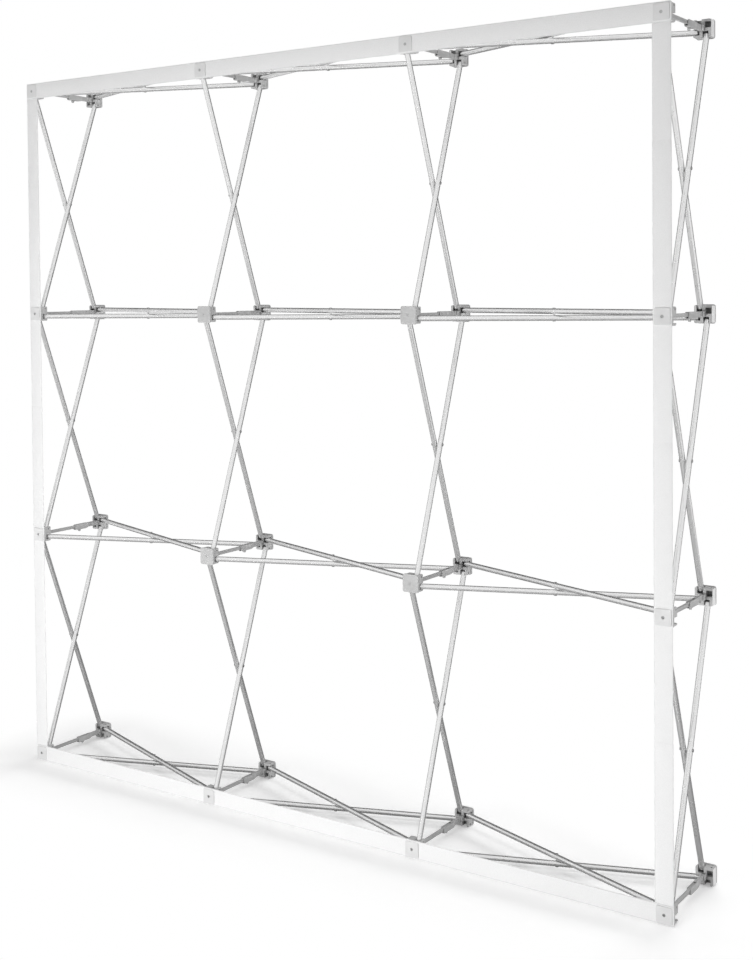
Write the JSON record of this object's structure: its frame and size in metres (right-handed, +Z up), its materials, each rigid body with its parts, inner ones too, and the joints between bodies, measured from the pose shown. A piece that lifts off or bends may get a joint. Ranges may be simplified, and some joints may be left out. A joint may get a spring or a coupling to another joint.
{
  "type": "pop up display backwall frame",
  "caption": "Folding scissor frame of a pop up display backwall, a flat grid of bays with front and rear hubs, crossed tubes, lock stays and a border of loop strip for a fabric graphic",
  "frame": {"origin": "centre of the bounding box in X and Y, on the floor in Z", "axes": "X along the wall, +Y to the back, +Z up; the front face with the loop strips looks to -Y"},
  "size_m": [2.255, 0.2994, 2.255],
  "materials": {
    "hub_plastic": "satin moulded",
    "pin_steel": "plain",
    "lock_plastic": "satin moulded",
    "tube": "satin anodised",
    "strip": "short loop pile",
    "cap": "satin moulded"
  },
  "bodies": {
    "front_row_0": {"front_hubs_0": "hub_plastic", "front_pins_0": "pin_steel", "strip_bottom": "strip", "strip_sides": "strip"},
    "rear_row_0": {"rear_hubs_0": "hub_plastic", "rear_pins_0": "pin_steel"},
    "front_row_1": {"front_hubs_1": "hub_plastic", "front_pins_1": "pin_steel", "strip_caps_1": "cap"},
    "rear_row_1": {"rear_hubs_1": "hub_plastic", "rear_pins_1": "pin_steel"},
    "front_row_2": {"front_hubs_2": "hub_plastic", "front_pins_2": "pin_steel", "strip_caps_2": "cap"},
    "rear_row_2": {"rear_hubs_2": "hub_plastic", "rear_pins_2": "pin_steel"},
    "front_row_3": {"front_hubs_3": "hub_plastic", "front_pins_3": "pin_steel", "strip_top": "strip"},
    "rear_row_3": {"rear_hubs_3": "hub_plastic", "rear_pins_3": "pin_steel"},
    "uprights_a_0": {"upright_tubes_a_0": "tube"},
    "uprights_b_0": {"upright_tubes_b_0": "tube"},
    "uprights_a_1": {"upright_tubes_a_1": "tube"},
    "uprights_b_1": {"upright_tubes_b_1": "tube"},
    "uprights_a_2": {"upright_tubes_a_2": "tube"},
    "uprights_b_2": {"upright_tubes_b_2": "tube"},
    "cross_a_0_0": {"cross_tube_a_0_0": "tube"},
    "cross_b_0_0": {"cross_tube_b_0_0": "tube"},
    "cross_a_1_0": {"cross_tube_a_1_0": "tube"},
    "cross_b_1_0": {"cross_tube_b_1_0": "tube"},
    "cross_a_2_0": {"cross_tube_a_2_0": "tube"},
    "cross_b_2_0": {"cross_tube_b_2_0": "tube"},
    "cross_a_0_1": {"cross_tube_a_0_1": "tube"},
    "cross_b_0_1": {"cross_tube_b_0_1": "tube"},
    "cross_a_1_1": {"cross_tube_a_1_1": "tube"},
    "cross_b_1_1": {"cross_tube_b_1_1": "tube"},
    "cross_a_2_1": {"cross_tube_a_2_1": "tube"},
    "cross_b_2_1": {"cross_tube_b_2_1": "tube"},
    "cross_a_0_2": {"cross_tube_a_0_2": "tube"},
    "cross_b_0_2": {"cross_tube_b_0_2": "tube"},
    "cross_a_1_2": {"cross_tube_a_1_2": "tube"},
    "cross_b_1_2": {"cross_tube_b_1_2": "tube"},
    "cross_a_2_2": {"cross_tube_a_2_2": "tube"},
    "cross_b_2_2": {"cross_tube_b_2_2": "tube"},
    "cross_a_0_3": {"cross_tube_a_0_3": "tube"},
    "cross_b_0_3": {"cross_tube_b_0_3": "tube"},
    "cross_a_1_3": {"cross_tube_a_1_3": "tube"},
    "cross_b_1_3": {"cross_tube_b_1_3": "tube"},
    "cross_a_2_3": {"cross_tube_a_2_3": "tube"},
    "cross_b_2_3": {"cross_tube_b_2_3": "tube"},
    "arms_0": {"lock_arms_0": "lock_plastic"},
    "catches_0": {"lock_catches_0": "lock_plastic"},
    "arms_1": {"lock_arms_1": "lock_plastic"},
    "catches_1": {"lock_catches_1": "lock_plastic"},
    "arms_2": {"lock_arms_2": "lock_plastic"},
    "catches_2": {"lock_catches_2": "lock_plastic"},
    "arms_3": {"lock_arms_3": "lock_plastic"},
    "catches_3": {"lock_catches_3": "lock_plastic"}
  },
  "joints": [
    {"name": "fold", "type": "hinge", "parent": "front_row_0", "child": "uprights_a_0", "pos_m": [0, -0.12525, 0.042], "axis": [-1, 0, 0], "range_deg": [0, 68], "deforming": ["strip_sides"]},
    {"name": "rivet_0", "type": "hinge", "parent": "uprights_a_0", "child": "uprights_b_0", "pos_m": [0, 0.00225, 0.3925], "axis": [1, 0, 0], "range_deg": [0, 136]},
    {"name": "rear_low_0", "type": "hinge", "parent": "uprights_b_0", "child": "rear_row_0", "pos_m": [0, 0.12975, 0.042], "axis": [1, 0, 0], "range_deg": [-68, 0]},
    {"name": "front_high_1", "type": "hinge", "parent": "uprights_b_0", "child": "front_row_1", "pos_m": [0, -0.12525, 0.743], "axis": [1, 0, 0], "range_deg": [-68, 0]},
    {"name": "rear_high_1", "type": "hinge", "parent": "uprights_a_0", "child": "rear_row_1", "pos_m": [0, 0.12975, 0.743], "axis": [1, 0, 0], "range_deg": [0, 68]},
    {"name": "rear_low_1", "type": "hinge", "parent": "rear_row_1", "child": "uprights_b_1", "pos_m": [0, 0.12975, 0.777], "axis": [1, 0, 0], "range_deg": [0, 68]},
    {"name": "front_high_2", "type": "hinge", "parent": "uprights_b_1", "child": "front_row_2", "pos_m": [0, -0.12525, 1.478], "axis": [1, 0, 0], "range_deg": [-68, 0]},
    {"name": "front_low_2", "type": "hinge", "parent": "front_row_2", "child": "uprights_a_2", "pos_m": [0, -0.12525, 1.512], "axis": [1, 0, 0], "range_deg": [-68, 0]},
    {"name": "rear_high_3", "type": "hinge", "parent": "uprights_a_2", "child": "rear_row_3", "pos_m": [0, 0.12975, 2.213], "axis": [1, 0, 0], "range_deg": [0, 68]},
    {"name": "front_low_1", "type": "hinge", "parent": "front_row_1", "child": "uprights_a_1", "pos_m": [0, -0.12525, 0.777], "axis": [1, 0, 0], "range_deg": [-68, 0]},
    {"name": "rear_high_2", "type": "hinge", "parent": "uprights_a_1", "child": "rear_row_2", "pos_m": [0, 0.12975, 1.478], "axis": [1, 0, 0], "range_deg": [0, 68]},
    {"name": "rear_low_2", "type": "hinge", "parent": "rear_row_2", "child": "uprights_b_2", "pos_m": [0, 0.12975, 1.512], "axis": [1, 0, 0], "range_deg": [0, 68]},
    {"name": "front_high_3", "type": "hinge", "parent": "uprights_b_2", "child": "front_row_3", "pos_m": [0, -0.12525, 2.213], "axis": [1, 0, 0], "range_deg": [-68, 0]},
    {"name": "cross_a_0_0_turn", "type": "hinge", "parent": "front_row_0", "child": "cross_a_0_0", "pos_m": [-1.0855, -0.12525, 0.016], "axis": [0, 0, 1], "range_deg": [0, 68]},
    {"name": "cross_b_0_0_turn", "type": "hinge", "parent": "rear_row_0", "child": "cross_b_0_0", "pos_m": [-1.0855, 0.12975, 0.034], "axis": [0, 0, 1], "range_deg": [-68, 0]},
    {"name": "cross_a_1_0_turn", "type": "hinge", "parent": "front_row_0", "child": "cross_a_1_0", "pos_m": [-0.3505, -0.12525, 0.016], "axis": [0, 0, 1], "range_deg": [0, 68]},
    {"name": "cross_b_1_0_turn", "type": "hinge", "parent": "rear_row_0", "child": "cross_b_1_0", "pos_m": [-0.3505, 0.12975, 0.034], "axis": [0, 0, 1], "range_deg": [-68, 0]},
    {"name": "cross_a_2_0_turn", "type": "hinge", "parent": "front_row_0", "child": "cross_a_2_0", "pos_m": [0.3845, -0.12525, 0.016], "axis": [0, 0, 1], "range_deg": [0, 68]},
    {"name": "cross_b_2_0_turn", "type": "hinge", "parent": "rear_row_0", "child": "cross_b_2_0", "pos_m": [0.3845, 0.12975, 0.034], "axis": [0, 0, 1], "range_deg": [-68, 0]},
    {"name": "cross_a_0_1_turn", "type": "hinge", "parent": "front_row_1", "child": "cross_a_0_1", "pos_m": [-1.0855, -0.12525, 0.751], "axis": [0, 0, 1], "range_deg": [0, 68]},
    {"name": "cross_b_0_1_turn", "type": "hinge", "parent": "rear_row_1", "child": "cross_b_0_1", "pos_m": [-1.0855, 0.12975, 0.769], "axis": [0, 0, 1], "range_deg": [-68, 0]},
    {"name": "cross_a_1_1_turn", "type": "hinge", "parent": "front_row_1", "child": "cross_a_1_1", "pos_m": [-0.3505, -0.12525, 0.751], "axis": [0, 0, 1], "range_deg": [0, 68]},
    {"name": "cross_b_1_1_turn", "type": "hinge", "parent": "rear_row_1", "child": "cross_b_1_1", "pos_m": [-0.3505, 0.12975, 0.769], "axis": [0, 0, 1], "range_deg": [-68, 0]},
    {"name": "cross_a_2_1_turn", "type": "hinge", "parent": "front_row_1", "child": "cross_a_2_1", "pos_m": [0.3845, -0.12525, 0.751], "axis": [0, 0, 1], "range_deg": [0, 68]},
    {"name": "cross_b_2_1_turn", "type": "hinge", "parent": "rear_row_1", "child": "cross_b_2_1", "pos_m": [0.3845, 0.12975, 0.769], "axis": [0, 0, 1], "range_deg": [-68, 0]},
    {"name": "cross_a_0_2_turn", "type": "hinge", "parent": "front_row_2", "child": "cross_a_0_2", "pos_m": [-1.0855, -0.12525, 1.486], "axis": [0, 0, 1], "range_deg": [0, 68]},
    {"name": "cross_b_0_2_turn", "type": "hinge", "parent": "rear_row_2", "child": "cross_b_0_2", "pos_m": [-1.0855, 0.12975, 1.504], "axis": [0, 0, 1], "range_deg": [-68, 0]},
    {"name": "cross_a_1_2_turn", "type": "hinge", "parent": "front_row_2", "child": "cross_a_1_2", "pos_m": [-0.3505, -0.12525, 1.486], "axis": [0, 0, 1], "range_deg": [0, 68]},
    {"name": "cross_b_1_2_turn", "type": "hinge", "parent": "rear_row_2", "child": "cross_b_1_2", "pos_m": [-0.3505, 0.12975, 1.504], "axis": [0, 0, 1], "range_deg": [-68, 0]},
    {"name": "cross_a_2_2_turn", "type": "hinge", "parent": "front_row_2", "child": "cross_a_2_2", "pos_m": [0.3845, -0.12525, 1.486], "axis": [0, 0, 1], "range_deg": [0, 68]},
    {"name": "cross_b_2_2_turn", "type": "hinge", "parent": "rear_row_2", "child": "cross_b_2_2", "pos_m": [0.3845, 0.12975, 1.504], "axis": [0, 0, 1], "range_deg": [-68, 0]},
    {"name": "cross_a_0_3_turn", "type": "hinge", "parent": "front_row_3", "child": "cross_a_0_3", "pos_m": [-1.0855, -0.12525, 2.221], "axis": [0, 0, 1], "range_deg": [0, 68]},
    {"name": "cross_b_0_3_turn", "type": "hinge", "parent": "rear_row_3", "child": "cross_b_0_3", "pos_m": [-1.0855, 0.12975, 2.239], "axis": [0, 0, 1], "range_deg": [-68, 0]},
    {"name": "cross_a_1_3_turn", "type": "hinge", "parent": "front_row_3", "child": "cross_a_1_3", "pos_m": [-0.3505, -0.12525, 2.221], "axis": [0, 0, 1], "range_deg": [0, 68]},
    {"name": "cross_b_1_3_turn", "type": "hinge", "parent": "rear_row_3", "child": "cross_b_1_3", "pos_m": [-0.3505, 0.12975, 2.239], "axis": [0, 0, 1], "range_deg": [-68, 0]},
    {"name": "cross_a_2_3_turn", "type": "hinge", "parent": "front_row_3", "child": "cross_a_2_3", "pos_m": [0.3845, -0.12525, 2.221], "axis": [0, 0, 1], "range_deg": [0, 68]},
    {"name": "cross_b_2_3_turn", "type": "hinge", "parent": "rear_row_3", "child": "cross_b_2_3", "pos_m": [0.3845, 0.12975, 2.239], "axis": [0, 0, 1], "range_deg": [-68, 0]},
    {"name": "arms_0_lift", "type": "hinge", "parent": "front_row_0", "child": "arms_0", "pos_m": [0, -0.10825, 0.025], "axis": [-1, 0, 0], "range_deg": [-60, 0]},
    {"name": "catches_0_drop", "type": "hinge", "parent": "rear_row_0", "child": "catches_0", "pos_m": [0, 0.11275, 0.025], "axis": [-1, 0, 0], "range_deg": [-5, 0]},
    {"name": "arms_1_lift", "type": "hinge", "parent": "front_row_1", "child": "arms_1", "pos_m": [0, -0.10825, 0.76], "axis": [-1, 0, 0], "range_deg": [-60, 0]},
    {"name": "catches_1_drop", "type": "hinge", "parent": "rear_row_1", "child": "catches_1", "pos_m": [0, 0.11275, 0.76], "axis": [-1, 0, 0], "range_deg": [-40, 0]},
    {"name": "arms_2_lift", "type": "hinge", "parent": "front_row_2", "child": "arms_2", "pos_m": [0, -0.10825, 1.495], "axis": [-1, 0, 0], "range_deg": [-60, 0]},
    {"name": "catches_2_drop", "type": "hinge", "parent": "rear_row_2", "child": "catches_2", "pos_m": [0, 0.11275, 1.495], "axis": [-1, 0, 0], "range_deg": [-40, 0]},
    {"name": "arms_3_lift", "type": "hinge", "parent": "front_row_3", "child": "arms_3", "pos_m": [0, -0.10825, 2.23], "axis": [-1, 0, 0], "range_deg": [-60, 0]},
    {"name": "catches_3_drop", "type": "hinge", "parent": "rear_row_3", "child": "catches_3", "pos_m": [0, 0.11275, 2.23], "axis": [-1, 0, 0], "range_deg": [-40, 0]}
  ],
  "couplings": [
    {"joint": "rivet_0", "follows": "fold", "ratio": 2},
    {"joint": "rear_low_0", "follows": "fold", "ratio": -1},
    {"joint": "front_high_1", "follows": "fold", "ratio": -1},
    {"joint": "rear_high_1", "follows": "fold", "ratio": 1},
    {"joint": "rear_low_1", "follows": "fold", "ratio": 1},
    {"joint": "front_high_2", "follows": "fold", "ratio": -1},
    {"joint": "front_low_2", "follows": "fold", "ratio": -1},
    {"joint": "rear_high_3", "follows": "fold", "ratio": 1},
    {"joint": "front_low_1", "follows": "fold", "ratio": -1},
    {"joint": "rear_high_2", "follows": "fold", "ratio": 1},
    {"joint": "rear_low_2", "follows": "fold", "ratio": 1},
    {"joint": "front_high_3", "follows": "fold", "ratio": -1},
    {"joint": "cross_a_0_0_turn", "follows": "fold", "ratio": 1},
    {"joint": "cross_b_0_0_turn", "follows": "fold", "ratio": -1},
    {"joint": "cross_a_1_0_turn", "follows": "fold", "ratio": 1},
    {"joint": "cross_b_1_0_turn", "follows": "fold", "ratio": -1},
    {"joint": "cross_a_2_0_turn", "follows": "fold", "ratio": 1},
    {"joint": "cross_b_2_0_turn", "follows": "fold", "ratio": -1},
    {"joint": "cross_a_0_1_turn", "follows": "fold", "ratio": 1},
    {"joint": "cross_b_0_1_turn", "follows": "fold", "ratio": -1},
    {"joint": "cross_a_1_1_turn", "follows": "fold", "ratio": 1},
    {"joint": "cross_b_1_1_turn", "follows": "fold", "ratio": -1},
    {"joint": "cross_a_2_1_turn", "follows": "fold", "ratio": 1},
    {"joint": "cross_b_2_1_turn", "follows": "fold", "ratio": -1},
    {"joint": "cross_a_0_2_turn", "follows": "fold", "ratio": 1},
    {"joint": "cross_b_0_2_turn", "follows": "fold", "ratio": -1},
    {"joint": "cross_a_1_2_turn", "follows": "fold", "ratio": 1},
    {"joint": "cross_b_1_2_turn", "follows": "fold", "ratio": -1},
    {"joint": "cross_a_2_2_turn", "follows": "fold", "ratio": 1},
    {"joint": "cross_b_2_2_turn", "follows": "fold", "ratio": -1},
    {"joint": "cross_a_0_3_turn", "follows": "fold", "ratio": 1},
    {"joint": "cross_b_0_3_turn", "follows": "fold", "ratio": -1},
    {"joint": "cross_a_1_3_turn", "follows": "fold", "ratio": 1},
    {"joint": "cross_b_1_3_turn", "follows": "fold", "ratio": -1},
    {"joint": "cross_a_2_3_turn", "follows": "fold", "ratio": 1},
    {"joint": "cross_b_2_3_turn", "follows": "fold", "ratio": -1}
  ]
}
